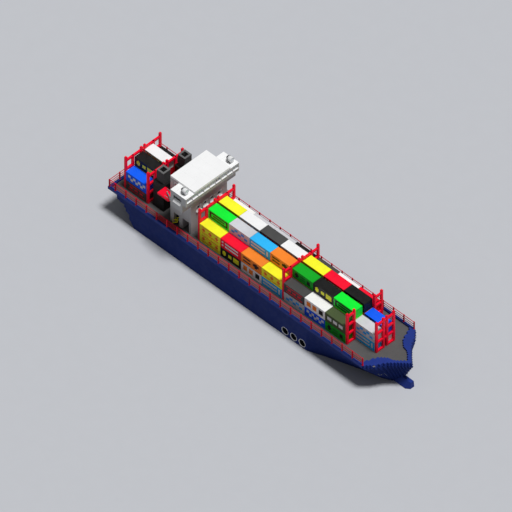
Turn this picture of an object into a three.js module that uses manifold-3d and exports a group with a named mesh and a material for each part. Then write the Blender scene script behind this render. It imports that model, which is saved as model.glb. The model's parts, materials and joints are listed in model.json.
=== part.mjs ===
// A feeder container ship with its deck cargo, as a 1:10 scale model.
// Every size below is the full-size ship's, in metres: x runs forward from the transom,
// y to port and z up from the flat bottom. Meshes are in model millimetres, with the
// origin under the middle of the ship, on the floor that the flat bottom stands on.
import * as THREE from "three";
import { mergeVertices } from "three/addons/utils/BufferGeometryUtils.js";
import Module from "manifold-3d";

const wasm = await Module();
wasm.setup();

// ---- driving dimensions -------------------------------------------------------------
const SCALE = 100; // model millimetres for one metre of ship
const LENGTH = 81;
const HALF_BEAM = 7.75;
const GAP = 0.004; // between pieces that touch
const RUNNING_GAP = 0.015; // round a shaft in its bore

const HULL_TOP = 6.3;
const DECK_Z = 6.5;
const RIM_Z = 7.0;
const RIM_WIDTH = 0.5;
const FORE_START = 50; // where the parallel middle body meets the fore body
const TAPER_START = 57;
const SHOULDER = 74; // where the deck's own outline starts to close
const STEM_FOOT = 77.4;

const BOX = { length: 6, width: 2.5, height: 2.5, gap: 0.03 };
const ROW_Y = { a: -4, b: -1.5, c: 1.5, d: 4 };
const TIERS = { a: 2, b: 3, c: 3, d: 2 };

const FRAME_POST = 0.5; // square posts
const FRAME_BAR = 0.46; // square bars between them
const FRAME_BARS = [6.75, 9.25, 11.75, 14.25];

const HOUSE = { aft: 15.75, front: 21.75, side: 5.25, bridge: 14.5, wall: 0.25 };
const PASSAGES = [
  [16.75, 18.25], // to the machinery
  [19.25, 21.15], // along the deck, from side to side
];
const PASSAGE_TOP = 9.5;
const CABIN = { floor: 10, ceiling: 14.25 };
const CABIN_WINDOWS = { ys: [-3, -1, 1, 3], sill: 12, front: 1.5, aft: 1, high: 13.5, aftHigh: 13.25 };
const WING = { aft: 18.25, side: 7.75, top: 19, band: 16.75, front: 22.75 };
const WING_WINDOW = { x: [19.1, 21.3], z: [16.25, 18] };
const BALCONY_DOOR = { x: [16.75, 18.0], z: [15, 18.5] };
const BAND_WINDOWS = { count: 9, pitch: 1.68, width: 1.4, z: [17.75, 18.6] };
const AFT_WINDOWS = { ys: [-3, 0, 3], width: 1.2, z: [16.5, 18] };
const ROOF_TOP = 19.5;
const LAMP = { x: 21.2, y: 6.6, height: 0.9, r: 0.62, length: 1.4, post: 0.14, foot: 0.45 };

const CASING = { x: 11.6, y: 3.1, side: 3, top: 13.75 };
const FUNNEL = { side: 2, wall: 0.4, top: 16.8, depth: 1.2 };

const BOAT = { x: 16.05, y: 6.5, length: 3.4, width: 2.4, top: 15.3, corner: 0.45, swivel: 0.12 };
// The boat's hull as rings from the keel up: distance below its top, and shares of its size.
const BOAT_RINGS = [
  { drop: 1.15, long: 0.625, wide: 0.25 },
  { drop: 0.9, long: 0.8, wide: 0.6 },
  { drop: 0.5, long: 1, wide: 1 },
  { drop: 0, long: 1, wide: 1 },
];
const DAVIT = { x: 18.0, y: 7.45, low: 15.55, high: 15.85, hub: 0.2, arm: 0.24, pin: 0.09 };
const LUG = { side: 0.4, thick: 0.1, gap: 0.05 }; // holds the davit's pin, above and below

const SHAFT = { y: 3.2, z: 2.2, r: 0.22, front: 8.4 };
const SCREW = { x: 4.5, r: 1.6, hub: 0.36, length: 0.8, blades: 4 };
const RUDDER = { x: 3.0, aft: 1.9, front: 3.5, low: 0.5, high: 4.85, thick: 0.36, edge: 0.06 };
const STOCK = { r: 0.2, foot: 1.0, top: 6.0 };

const TUNNEL = { xs: [51.6, 54.1, 56.6], z: 1.3, r: 0.95 };
const ROTOR = { r: 0.82, y: 6.9, hub: 0.2, length: 0.5, blades: 4 };
const POD = { r: 0.22, end: 0.35, strut: 0.2, chord: 0.5 };

const RAIL = { inset: 0.25, first: 2, pitch: 3, posts: 25, top: 9, post: 0.24, bar: 0.12 };
const RAIL_BARS = [7.64, 8.22, 8.88];
const PAST = 1; // how far a cutting block runs past the wall it cuts

// ---- paint --------------------------------------------------------------------------
const paint = (color, roughness = 0.6, metalness = 0.1) =>
  new THREE.MeshStandardMaterial({ color, roughness, metalness });
const PAINT = {
  hull: paint(0x233887),
  deck: paint(0x4c4c4c, 0.9),
  white: paint(0xffffff),
  red: paint(0xff002f),
  black: paint(0x161616),
  grey: paint(0x4c4c4c),
  steel: paint(0x8d8f94, 0.4, 0.8),
  bronze: paint(0xb08d4f, 0.35, 0.9),
  yellow: paint(0xfffe2b),
  green: paint(0x00f937),
  blue: paint(0x0062ff),
  pale: paint(0xd5d6db),
};

// ---- solids -------------------------------------------------------------------------
function toSolid(geometry) {
  const bare = geometry.clone();
  bare.deleteAttribute("normal");
  bare.deleteAttribute("uv");
  const merged = mergeVertices(bare, 1e-5);
  return new wasm.Manifold(
    new wasm.Mesh({
      numProp: 3,
      vertProperties: merged.attributes.position.array,
      triVerts: new Uint32Array(merged.index.array),
    }),
  );
}

// The range of one size centred on a middle value.
const around = (middle, size) => [middle - size / 2, middle + size / 2];

const join = (solids) => solids.reduce((whole, next) => whole.add(next));

const cut = (solid, tools) => tools.reduce((rest, tool) => rest.subtract(tool), solid);

function block(x, y, z) {
  const size = [x, y, z].map(([low, high]) => high - low);
  const middle = [x, y, z].map(([low, high]) => (low + high) / 2);
  return toSolid(new THREE.BoxGeometry(...size).translate(...middle));
}

function rodZ(x, y, [low, high], r, sides = 12) {
  const geometry = new THREE.CylinderGeometry(r, r, high - low, sides).rotateX(Math.PI / 2);
  return toSolid(geometry.translate(x, y, (low + high) / 2));
}

function rodY(x, z, [low, high], r, sides = 24) {
  const geometry = new THREE.CylinderGeometry(r, r, high - low, sides);
  return toSolid(geometry.translate(x, (low + high) / 2, z));
}

function rodX([low, high], y, z, r, sides = 24) {
  const geometry = new THREE.CylinderGeometry(r, r, high - low, sides).rotateZ(Math.PI / 2);
  return toSolid(geometry.translate((low + high) / 2, y, z));
}

// An outline in plan, given as [x, y] points, standing from z low to z high.
function prismZ(points, [low, high]) {
  const shape = new THREE.Shape(points.map(([x, y]) => new THREE.Vector2(x, y)));
  const geometry = new THREE.ExtrudeGeometry(shape, { depth: high - low, bevelEnabled: false });
  return toSolid(geometry.translate(0, 0, low));
}

// An outline seen from the side, given as [x, z] points, reaching from y low to y high.
function prismY(points, [low, high]) {
  const shape = new THREE.Shape(points.map(([x, z]) => new THREE.Vector2(x, z)));
  const geometry = new THREE.ExtrudeGeometry(shape, { depth: high - low, bevelEnabled: false });
  return toSolid(geometry.rotateX(Math.PI / 2).translate(0, high, 0));
}

// A closed skin through rings of one length, each running anticlockwise as seen from the last
// ring's side. flatten lays a ring out flat, to close the two ends.
function loft(rings, flatten) {
  const count = rings[0].length;
  const index = [];
  for (let r = 0; r + 1 < rings.length; r++) {
    for (let i = 0; i < count; i++) {
      const a = r * count + i;
      const b = r * count + ((i + 1) % count);
      index.push(a, b, b + count, a, b + count, a + count);
    }
  }
  const last = (rings.length - 1) * count;
  for (const [a, b, c] of THREE.ShapeUtils.triangulateShape(rings[0].map(flatten), [])) {
    index.push(c, b, a);
    index.push(last + a, last + b, last + c);
  }
  const geometry = new THREE.BufferGeometry();
  geometry.setAttribute("position", new THREE.Float32BufferAttribute(rings.flat(2), 3));
  geometry.setIndex(index);
  return toSolid(geometry);
}

const inPlan = ([x, y]) => new THREE.Vector2(x, y);
const inSection = ([, y, z]) => new THREE.Vector2(y, z);

const mirrorY = (solid) => solid.mirror([0, 1, 0]);

// ---- the ship as a group of named meshes ----------------------------------------------
const ship = new THREE.Group();

function addPiece(name, solid, material) {
  const { numProp, numVert, vertProperties, triVerts } = solid.getMesh();
  const positions = new Float32Array(numVert * 3);
  for (let i = 0; i < numVert; i++) {
    positions.set(vertProperties.subarray(i * numProp, i * numProp + 3), i * 3);
  }
  const geometry = new THREE.BufferGeometry();
  geometry.setAttribute("position", new THREE.BufferAttribute(positions, 3));
  geometry.setIndex(new THREE.BufferAttribute(triVerts, 1));
  geometry.translate(-LENGTH / 2, 0, 0).scale(SCALE, SCALE, SCALE);
  const mesh = new THREE.Mesh(geometry, material);
  mesh.name = name;
  ship.add(mesh);
}

function addPair(name, starboard, material) {
  addPiece(name + "_starboard", starboard, material);
  addPiece(name + "_port", mirrorY(starboard), material);
}

// ---- hull -----------------------------------------------------------------------------
// The side view's stern climbs from the flat bottom to the overhanging counter in steps.
const STERN_STEPS = [
  [7.7, 0],
  [7.25, 0.5],
  [6.75, 1.25],
  [6.25, 1.75],
  [6.25, 3.0],
  [5.25, 3.5],
  [5.25, 4.25],
  [4.75, 4.25],
  [4.75, 5.0],
  [3.5, 5.0],
  [3.5, 5.25],
  [2.7, 5.25],
  [2.7, HULL_TOP],
];

function middleBody() {
  const side = [...STERN_STEPS, [FORE_START, HULL_TOP], [FORE_START, 0]];
  const body = prismY(side, [-HALF_BEAM, HALF_BEAM]);
  const bores = [-SHAFT.y, SHAFT.y].flatMap((y) => [
    rodX([SHAFT.front - 3.5, SHAFT.front + 0.1], y, SHAFT.z, SHAFT.r + RUNNING_GAP),
    rodZ(RUDDER.x, y, [RUDDER.high, STOCK.top + 0.1], STOCK.r + RUNNING_GAP, 24),
  ]);
  return cut(body, bores);
}

// Half outlines of the fore body at the bottom and at the deck, from the taper to the stem.
const BOTTOM_LINE = [
  [TAPER_START, HALF_BEAM],
  [62, 6.08],
  [67.2, 4.35],
  [70.9, 3.15],
  [73.9, 2.35],
  [75.5, 1.75],
  [76.5, 1.2],
  [77.1, 0.6],
  [STEM_FOOT, 0],
];
const DECK_LINE = [
  [TAPER_START, HALF_BEAM],
  [62, HALF_BEAM],
  [67.2, HALF_BEAM],
  [70.9, HALF_BEAM],
  [SHOULDER, HALF_BEAM],
  [75.75, 5.85],
  [77.0, 3.6],
  [78.6, 1.95],
  [80.8, 0],
];

function waterline(z, start) {
  const rise = Math.min(z / HULL_TOP, 1);
  const half = BOTTOM_LINE.map(([x, y], i) => [
    x + (DECK_LINE[i][0] - x) * rise,
    y + (DECK_LINE[i][1] - y) * rise,
  ]);
  const starboard = half.map(([x, y]) => [x, -y]);
  const port = half.slice(0, -1).reverse();
  return [[start, -HALF_BEAM], ...starboard, ...port, [start, HALF_BEAM]];
}

function foreBody() {
  const levels = [0, 1.5, 3, 4.5, HULL_TOP];
  const start = FORE_START + GAP;
  const rings = levels.map((z) => waterline(z, start).map(([x, y]) => [x, y, z]));
  return loft(rings, inPlan);
}

// The bulb is a ridge with a flat top, sloping sides and a blunt nose. From aft forward: x, then
// the half width at the foot and at the top, the height of the foot's edge and of the top.
const BULB = [
  [75.5, 1.25, 0.33, 0.3, 1.8],
  [80.1, 1.25, 0.33, 0.3, 1.8],
  [80.75, 0.85, 0.33, 0.3, 1.25],
  [LENGTH, 0.5, 0.2, 0.25, 0.7],
];
const BULB_FOOT = 0.02; // clear of the floor
const BULB_GAP = 0.02;

function bulb(fore) {
  const rings = BULB.map(([x, foot, top, edge, height]) => [
    [x, foot, BULB_FOOT],
    [x, foot, edge],
    [x, top, height],
    [x, -top, height],
    [x, -foot, edge],
    [x, -foot, BULB_FOOT],
  ]);
  return cut(loft(rings, inSection), [fore.translate([BULB_GAP, 0, 0])]);
}

// ---- deck, bulwark and rails ------------------------------------------------------------
const BOW_INNER_LINE = [
  [73.0, HALF_BEAM - RIM_WIDTH],
  [73.6, 6.2],
  [74.0, 5.0],
  [74.6, 3.7],
  [76.1, 2.3],
  [77.4, 2.0],
  [78.2, 1.4],
  [79.6, 0],
];

// The deck's outline inside the bulwark, drawn in by an inset.
function innerOutline(inset) {
  const edge = RIM_WIDTH + inset;
  const side = HALF_BEAM - edge;
  const [shoulder, ...bow] = BOW_INNER_LINE;
  const half = [[shoulder[0], side], ...bow.map(([x, y]) => [x - inset, Math.max(y - inset, 0)])];
  const starboard = half.map(([x, y]) => [x, -y]);
  const port = half.slice(0, -1).reverse();
  return [[edge, -side], ...starboard, ...port, [edge, side]];
}

function bulwark() {
  const outside = prismZ(waterline(HULL_TOP, 0), [HULL_TOP + GAP, RIM_Z]);
  return cut(outside, [prismZ(innerOutline(0), [HULL_TOP, RIM_Z + PAST])]);
}

const mainDeck = () => prismZ(innerOutline(GAP), [HULL_TOP + GAP, DECK_Z]);

const railPost = (x, y) => block(around(x, RAIL.post), around(y, RAIL.post), [RIM_Z + GAP, RAIL.top]);

function sideRail(y) {
  const xs = Array.from({ length: RAIL.posts }, (_, i) => RAIL.first + RAIL.pitch * i);
  const along = [RAIL.inset + RAIL.post / 2 + GAP, xs.at(-1)];
  const bars = RAIL_BARS.map((z) => block(along, around(y, RAIL.bar), around(z, RAIL.bar)));
  return join([...xs.map((x) => railPost(x, y)), ...bars]);
}

function sternRail() {
  const x = RAIL.inset;
  const end = HALF_BEAM - RAIL.inset;
  const ys = [-end, -4.5, -1.5, 1.5, 4.5, end];
  const bars = RAIL_BARS.map((z) => block(around(x, RAIL.bar), [-end, end], around(z, RAIL.bar)));
  return join([...ys.map((y) => railPost(x, y)), ...bars]);
}

// ---- deckhouse ------------------------------------------------------------------------
const inside = ([low, high], wall) => [low + wall, high - wall];

function houseTower() {
  const { aft, front, side, bridge, wall } = HOUSE;
  const { ys, sill } = CABIN_WINDOWS;
  const shell = block([aft, front], [-side, side], [DECK_Z + GAP, bridge - GAP]);
  const across = [-side - PAST, side + PAST];
  const passages = PASSAGES.map((x) => block(x, across, [DECK_Z, PASSAGE_TOP]));
  const cabin = block(
    inside([aft, front], wall),
    inside([-side, side], wall),
    [CABIN.floor, CABIN.ceiling],
  );
  const windows = ys.flatMap((y) => [
    block([front - PAST, front + PAST], around(y, CABIN_WINDOWS.front), [sill, CABIN_WINDOWS.high]),
    block([aft - PAST, aft + PAST], around(y, CABIN_WINDOWS.aft), [sill, CABIN_WINDOWS.aftHigh]),
  ]);
  return cut(shell, [...passages, cabin, ...windows]);
}

// The bridge runs out over the ship's sides in two wings, and its front band overhangs.
function wheelhouse() {
  const { aft, front, side, bridge, wall } = HOUSE;
  const parts = [
    [[aft, front], [-side, side], [bridge, WING.top]],
    [[WING.aft, front], [-WING.side, WING.side], [bridge, WING.top]],
    [[front - PAST, WING.front], [-WING.side, WING.side], [WING.band, WING.top]],
  ];
  const outer = parts.map((sides) => block(...sides));
  const rooms = parts.map((sides) => block(...sides.map((range) => inside(range, wall))));
  const pastWings = [-WING.side - PAST, WING.side + PAST];
  const pastSides = [-side - PAST, side + PAST];
  const bandX = [WING.front - 2 * wall, WING.front + PAST];
  const bandWindows = Array.from({ length: BAND_WINDOWS.count }, (_, i) => {
    const y = (i - (BAND_WINDOWS.count - 1) / 2) * BAND_WINDOWS.pitch;
    return block(bandX, around(y, BAND_WINDOWS.width), BAND_WINDOWS.z);
  });
  const aftWindows = AFT_WINDOWS.ys.map((y) =>
    block([aft - PAST, aft + 2 * wall], around(y, AFT_WINDOWS.width), AFT_WINDOWS.z),
  );
  const hollow = cut(join(outer), [
    ...rooms,
    block(WING_WINDOW.x, pastWings, WING_WINDOW.z),
    block(BALCONY_DOOR.x, pastSides, BALCONY_DOOR.z),
    ...bandWindows,
    ...aftWindows,
  ]);
  return join([hollow, davitBearing(-DAVIT.y), davitBearing(DAVIT.y)]);
}

// Two lugs on the wing's aft wall, with the pin that the davit slews on.
function davitBearing(y) {
  const x = [DAVIT.x - LUG.side / 2, WING.aft + LUG.gap];
  const below = DAVIT.low - LUG.gap;
  const above = DAVIT.high + LUG.gap;
  return join([
    block(x, around(y, LUG.side), [below - LUG.thick, below]),
    block(x, around(y, LUG.side), [above, above + LUG.thick]),
    rodZ(DAVIT.x, y, [below - LUG.gap, above + LUG.gap], DAVIT.pin, 16),
  ]);
}

const houseRoof = () =>
  block([HOUSE.aft, WING.front], [-HOUSE.side, HOUSE.side], [WING.top + GAP, ROOF_TOP]);

function searchlight() {
  const foot = WING.top + GAP;
  const along = around(LAMP.x, LAMP.length);
  return join([
    rodZ(LAMP.x, -LAMP.y, [foot, foot + 0.15], LAMP.foot, 16),
    rodZ(LAMP.x, -LAMP.y, [foot, foot + LAMP.height], LAMP.post),
    rodX(along, -LAMP.y, foot + LAMP.height, LAMP.r, 16),
  ]);
}

// ---- funnels --------------------------------------------------------------------------
const square = (side, z) => block(around(CASING.x, side), around(-CASING.y, side), z);

const funnelCasing = () => square(CASING.side, [DECK_Z + GAP, CASING.top]);

function funnelStack() {
  const mouth = square(FUNNEL.side - 2 * FUNNEL.wall, [FUNNEL.top - FUNNEL.depth, FUNNEL.top + PAST]);
  return cut(square(FUNNEL.side, [CASING.top + GAP, FUNNEL.top]), [mouth]);
}

// ---- lifeboats and davits --------------------------------------------------------------
function lifeboat() {
  const rings = BOAT_RINGS.map(({ drop, long, wide }) => {
    const halfWidth = (BOAT.width / 2) * wide;
    const corner = Math.min(BOAT.corner, halfWidth * 0.6);
    const stern = BOAT.x - (BOAT.length / 2) * long;
    const bow = BOAT.x + (BOAT.length / 2) * long;
    const z = BOAT.top - drop;
    return [
      [stern, -BOAT.y - halfWidth, z],
      [bow - corner, -BOAT.y - halfWidth, z],
      [bow, -BOAT.y - halfWidth + corner, z],
      [bow, -BOAT.y + halfWidth - corner, z],
      [bow - corner, -BOAT.y + halfWidth, z],
      [stern, -BOAT.y + halfWidth, z],
    ];
  });
  const swivel = rodZ(BOAT.x, -BOAT.y, [BOAT.top - 0.1, DAVIT.low - LUG.gap], BOAT.swivel);
  return join([loft(rings, inPlan), swivel]);
}

// The davit's arm is drawn along X from its pin, then turned to point at the middle of the boat.
function davit() {
  const [dx, dy] = [BOAT.x - DAVIT.x, DAVIT.y - BOAT.y];
  const reach = Math.hypot(dx, dy);
  const z = [DAVIT.low, DAVIT.high];
  const hub = rodZ(0, 0, z, DAVIT.hub, 16);
  const arm = block([0, reach + DAVIT.arm / 2], around(0, DAVIT.arm), z);
  const bore = rodZ(0, 0, [DAVIT.low - PAST, DAVIT.high + PAST], DAVIT.pin + RUNNING_GAP, 16);
  const bearing = THREE.MathUtils.radToDeg(Math.atan2(dy, dx));
  const turned = cut(join([hub, arm]), [bore]).rotate([0, 0, bearing]);
  return turned.translate([DAVIT.x, -DAVIT.y, 0]);
}

// ---- lashing frames ---------------------------------------------------------------------
// posts are [y, top], and ladders [from y, to y, heights of the bars between].
function lashingFrame(x, posts, ladders) {
  const uprights = posts.map(([y, top]) =>
    block(around(x, FRAME_POST - GAP), around(y, FRAME_POST), [DECK_Z + GAP, top]),
  );
  const bars = ladders.flatMap(([from, to, heights]) =>
    heights.map((z) => block(around(x, FRAME_BAR), [from, to], around(z, FRAME_BAR))),
  );
  return join([...uprights, ...bars]);
}

const FRAME_TOPS = { outer: 15.4, flush: 14.48, inner: 15.2, bow: 15.1 };
const FRAME_XS = { stern: 2.5, funnel: 9, house: 24, middle: 48.5 };
const LADDER_X = 67;
const BOW_FRAME_X = 73;
const TOP_BAR = FRAME_BARS.at(-1);

function addLashingFrames() {
  const { outer, flush, inner } = FRAME_TOPS;
  const posts = [
    [-5, outer],
    [-3, flush],
    [-0.5, inner],
    [0.5, inner],
    [3, flush],
    [5, outer],
  ];
  const starboardLadder = [-5, -3, FRAME_BARS];
  const portLadder = [3, 5, FRAME_BARS];
  const topBar = [-3, 3, [TOP_BAR]];
  for (const [name, x] of Object.entries(FRAME_XS)) {
    const frame = lashingFrame(x, posts, [starboardLadder, topBar, portLadder]);
    addPiece("lashing_frame_" + name, frame, PAINT.red);
  }
  const ladderPosts = [
    [-5, inner],
    [-3, inner],
  ];
  const ladderFrame = lashingFrame(LADDER_X, ladderPosts, [starboardLadder]);
  addPair("lashing_ladder", ladderFrame, PAINT.red);
  const bowPosts = [-2.5, -0.5, 0.5, 2.5].map((y) => [y, FRAME_TOPS.bow]);
  const bowLadders = [
    [-2.5, -0.5, FRAME_BARS],
    [-0.5, 0.5, [FRAME_BARS[1], TOP_BAR]],
    [0.5, 2.5, FRAME_BARS],
  ];
  addPiece("lashing_frame_bow", lashingFrame(BOW_FRAME_X, bowPosts, bowLadders), PAINT.red);
}

// ---- containers -------------------------------------------------------------------------
const TWISTLOCK = { inset: 0.2, halfWidth: 0.9, height: 0.2 };
const BRIDGE = { length: 0.2, width: 1.2, low: 1, high: 1.4 };
const GROUPS = [
  ["boxes_stern", 2.75, 1, ROW_Y, TIERS],
  ["boxes_midship", 24.25, 4, ROW_Y, TIERS],
  ["boxes_forward", 48.75, 3, ROW_Y, TIERS],
  ["boxes_bow", 66.75 + GAP, 1, { b: ROW_Y.b, c: ROW_Y.c }, { b: 2, c: 2 }],
];

// A row of stacked containers, held to each other by twistlocks and bridge fittings.
function boxRow(start, bays, y, tiers) {
  const { length, width, height, gap } = BOX;
  const across = inside(around(y, width), gap);
  const lockAcross = around(y, 2 * TWISTLOCK.halfWidth);
  const bridgeAcross = around(y, BRIDGE.width);
  const parts = [];
  for (let bay = 0; bay < bays; bay++) {
    const x = [start + bay * length, start + (bay + 1) * length];
    for (let tier = 0; tier < tiers; tier++) {
      const z = DECK_Z + tier * height;
      const foot = tier ? z + gap : z + GAP;
      parts.push(block(inside(x, gap), across, [foot, z + height - gap]));
      if (tier) {
        parts.push(block(inside(x, TWISTLOCK.inset), lockAcross, around(z, TWISTLOCK.height)));
      }
      if (bay) {
        const bridgeZ = [z + BRIDGE.low, z + BRIDGE.high];
        parts.push(block(around(x[0], BRIDGE.length), bridgeAcross, bridgeZ));
      }
    }
  }
  return join(parts);
}

function addContainers() {
  const paints = { a: PAINT.yellow, b: PAINT.green, c: PAINT.pale, d: PAINT.blue };
  for (const [name, start, bays, rows, tiers] of GROUPS) {
    for (const [row, y] of Object.entries(rows)) {
      addPiece(name + "_row_" + row, boxRow(start, bays, y, tiers[row]), paints[row]);
    }
  }
}

// ---- propulsion and steering ---------------------------------------------------------------
const PITCH = 55; // degrees from the shaft's axis
const FIRST_BLADE = 0.3; // radians, so that no blade stands straight up
const BLADE = { chord: 0.55, thickness: 0.06, root: 0.6 }; // shares of the radius, and of the hub's

// A screw about the X axis, centred on the origin: flat blades set at their pitch round a hub.
function screw({ r, hub, length, blades }) {
  const chord = r * BLADE.chord;
  const root = hub * BLADE.root;
  const outline = new THREE.Shape();
  outline.moveTo(-chord * 0.35, root);
  outline.bezierCurveTo(-chord * 0.8, r * 0.5, -chord * 0.6, r, 0, r);
  outline.bezierCurveTo(chord * 0.6, r, chord * 0.8, r * 0.5, chord * 0.35, root);
  const depth = r * BLADE.thickness;
  const flat = new THREE.ExtrudeGeometry(outline, { depth, bevelEnabled: false, curveSegments: 4 });
  flat.translate(0, 0, -depth / 2).rotateX(Math.PI / 2);
  flat.rotateZ(THREE.MathUtils.degToRad(PITCH));
  const parts = [rodX(around(0, length), 0, 0, hub, 20)];
  for (let i = 0; i < blades; i++) {
    parts.push(toSolid(flat.clone().rotateX((i * 2 * Math.PI) / blades + FIRST_BLADE)));
  }
  return join(parts);
}

function addPropulsion() {
  const propeller = screw(SCREW).translate([SCREW.x, -SHAFT.y, SHAFT.z]);
  addPair("propeller", propeller, PAINT.bronze);
  const shaftAft = SCREW.x + SCREW.length / 2 + GAP;
  addPair("propeller_shaft", rodX([shaftAft, SHAFT.front], -SHAFT.y, SHAFT.z, SHAFT.r), PAINT.steel);
  const [thick, edge] = [RUDDER.thick / 2, RUDDER.edge / 2];
  const widest = RUDDER.x + 0.1;
  const outline = [
    [RUDDER.front, -SHAFT.y],
    [widest, -SHAFT.y - thick],
    [RUDDER.aft, -SHAFT.y - edge],
    [RUDDER.aft, -SHAFT.y + edge],
    [widest, -SHAFT.y + thick],
  ];
  const blade = prismZ(outline, [RUDDER.low, RUDDER.high]);
  const stock = rodZ(RUDDER.x, -SHAFT.y, [STOCK.foot, STOCK.top], STOCK.r, 24);
  addPair("rudder", join([blade, stock]), PAINT.hull);
}

const acrossShip = [-HALF_BEAM - PAST, HALF_BEAM + PAST];

// Each tunnel thruster is a gear pod on two struts, with a rotor at each mouth.
function addThruster(name, x) {
  const inner = ROTOR.y - POD.end;
  const lining = rodY(x, TUNNEL.z, acrossShip, TUNNEL.r - GAP, 32);
  const struts = [POD.chord - inner, inner - POD.chord].map((y) =>
    block(around(x, POD.strut), around(y, POD.chord), around(TUNNEL.z, 2 * TUNNEL.r)),
  );
  const pod = join([rodY(x, TUNNEL.z, [-inner, inner], POD.r, 16), ...struts]);
  addPiece("thruster_pod_" + name, pod.intersect(lining), PAINT.steel);
  const rotor = screw(ROTOR).rotate([0, 0, 90]).translate([x, -ROTOR.y, TUNNEL.z]);
  addPair("thruster_rotor_" + name, rotor, PAINT.grey);
}

function addThrusters() {
  const names = ["aft", "middle", "front"];
  names.forEach((name, i) => addThruster(name, TUNNEL.xs[i]));
}

const tunnels = () => TUNNEL.xs.map((x) => rodY(x, TUNNEL.z, acrossShip, TUNNEL.r, 32));

// ---- assembly -----------------------------------------------------------------------------
const fore = foreBody();
addPiece("hull_middle_body", middleBody(), PAINT.hull);
addPiece("hull_fore_body", cut(fore, tunnels()), PAINT.hull);
addPiece("bulbous_bow", bulb(fore), PAINT.hull);
addPiece("main_deck", mainDeck(), PAINT.deck);
addPiece("bulwark", bulwark(), PAINT.hull);
addPiece("rail_starboard", sideRail(RAIL.inset - HALF_BEAM), PAINT.red);
addPiece("rail_port", sideRail(HALF_BEAM - RAIL.inset), PAINT.red);
addPiece("rail_stern", sternRail(), PAINT.red);
addPiece("house_tower", houseTower(), PAINT.white);
addPiece("wheelhouse", wheelhouse(), PAINT.white);
addPiece("wheelhouse_roof", houseRoof(), PAINT.white);
addPair("searchlight", searchlight(), PAINT.grey);
addPair("funnel_casing", funnelCasing(), PAINT.black);
addPair("funnel_stack", funnelStack(), PAINT.grey);
addPair("lifeboat", lifeboat(), PAINT.red);
addPair("davit", davit(), PAINT.steel);
addLashingFrames();
addContainers();
addPropulsion();
addThrusters();

export default ship;
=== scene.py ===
"""A feeder container ship with its deck cargo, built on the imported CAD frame.

Sizes in this file are the full-size ship's, in metres: x runs forward from the transom, y to port
and z up from the flat bottom. Shape.make turns them into the frame's own metres, at 1:10.
"""
import json
from functools import partial
from math import atan, copysign, cos, pi, radians, sin, sqrt

import bmesh
import bpy
from mathutils import Matrix, Vector
from mathutils.geometry import tessellate_polygon


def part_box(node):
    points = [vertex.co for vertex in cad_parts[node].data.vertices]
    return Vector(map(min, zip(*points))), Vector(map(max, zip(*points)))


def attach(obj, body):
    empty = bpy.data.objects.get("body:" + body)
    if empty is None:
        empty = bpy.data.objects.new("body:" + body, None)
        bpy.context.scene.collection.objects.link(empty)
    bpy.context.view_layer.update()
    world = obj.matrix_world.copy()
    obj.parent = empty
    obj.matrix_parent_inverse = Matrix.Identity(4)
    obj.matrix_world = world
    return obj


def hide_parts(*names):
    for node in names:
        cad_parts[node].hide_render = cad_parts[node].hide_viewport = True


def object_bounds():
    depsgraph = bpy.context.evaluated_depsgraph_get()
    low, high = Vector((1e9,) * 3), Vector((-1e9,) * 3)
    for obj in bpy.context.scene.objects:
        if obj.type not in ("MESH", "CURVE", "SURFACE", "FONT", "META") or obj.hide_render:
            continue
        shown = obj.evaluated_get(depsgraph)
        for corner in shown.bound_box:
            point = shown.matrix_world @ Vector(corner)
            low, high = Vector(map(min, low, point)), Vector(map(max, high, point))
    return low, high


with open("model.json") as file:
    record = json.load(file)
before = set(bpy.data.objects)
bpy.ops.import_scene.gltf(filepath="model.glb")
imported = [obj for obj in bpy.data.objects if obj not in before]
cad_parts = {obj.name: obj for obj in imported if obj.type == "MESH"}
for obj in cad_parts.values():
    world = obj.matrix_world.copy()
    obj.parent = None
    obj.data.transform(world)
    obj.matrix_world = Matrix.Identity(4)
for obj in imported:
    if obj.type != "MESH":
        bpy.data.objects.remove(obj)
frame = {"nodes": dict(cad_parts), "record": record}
CAD_LOW, CAD_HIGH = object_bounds()

SCALE = 0.1
MIDSHIP = (CAD_HIGH.x - CAD_LOW.x) / SCALE / 2
HALF_BEAM = CAD_HIGH.y / SCALE
BLOCK = 0.25  # the length of one step in the plating of the flare; the bow's are twice that
BOW_STEPS = 70  # where the longer steps begin
SQUARE = ((-1, -1), (1, -1), (1, 1), (-1, 1))
SIDES = ("starboard", "port")


def to_frame(point):
    x, y, z = point
    return Vector(((x - MIDSHIP) * SCALE, y * SCALE, z * SCALE))


def span(node):
    """The lowest and highest corner of a CAD node, in ship metres."""
    return [Vector((c[0] / SCALE + MIDSHIP, c[1] / SCALE, c[2] / SCALE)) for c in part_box(node)]


def about(middle, half):
    """The span that reaches half to each side of the middle."""
    return (middle - half, middle + half)


def circle(sides):
    """The angles of the corners of a regular polygon."""
    return [2 * pi * i / sides for i in range(sides)]


def centre_of(node):
    low, high = span(node)
    return [(a + b) / 2 for a, b in zip(low, high)]


# ---- paints ----------------------------------------------
# Noise scales and lengths here are in the frame's metres, at 1:10.
NOISE_LOW, NOISE_HIGH = 0.35, 0.65  # where most of a noise texture's values lie
PATCH_SCALE, WEAR_SCALE, GRAIN_SCALE = 3.0, 11.0, 240.0
RUN_STRETCH = (26.0, 26.0, 1.6)
SEAM_WIDTH = 0.0012
SEAM_HEIGHT = 3.0  # as a multiple of the grain
BUMP_DISTANCE = 0.0006
WALL_NORMAL, ROOF_NORMAL = 0.6, 0.9  # the upward part of a normal, between the walls' colour and the painted light on tops


def linear(code):
    """A linear colour from the six hex digits of an sRGB one."""
    rgb = [int(code[i : i + 2], 16) / 255 for i in (0, 2, 4)]
    return [c / 12.92 if c <= 0.04045 else ((c + 0.055) / 1.055) ** 2.4 for c in rgb] + [1.0]


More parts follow.
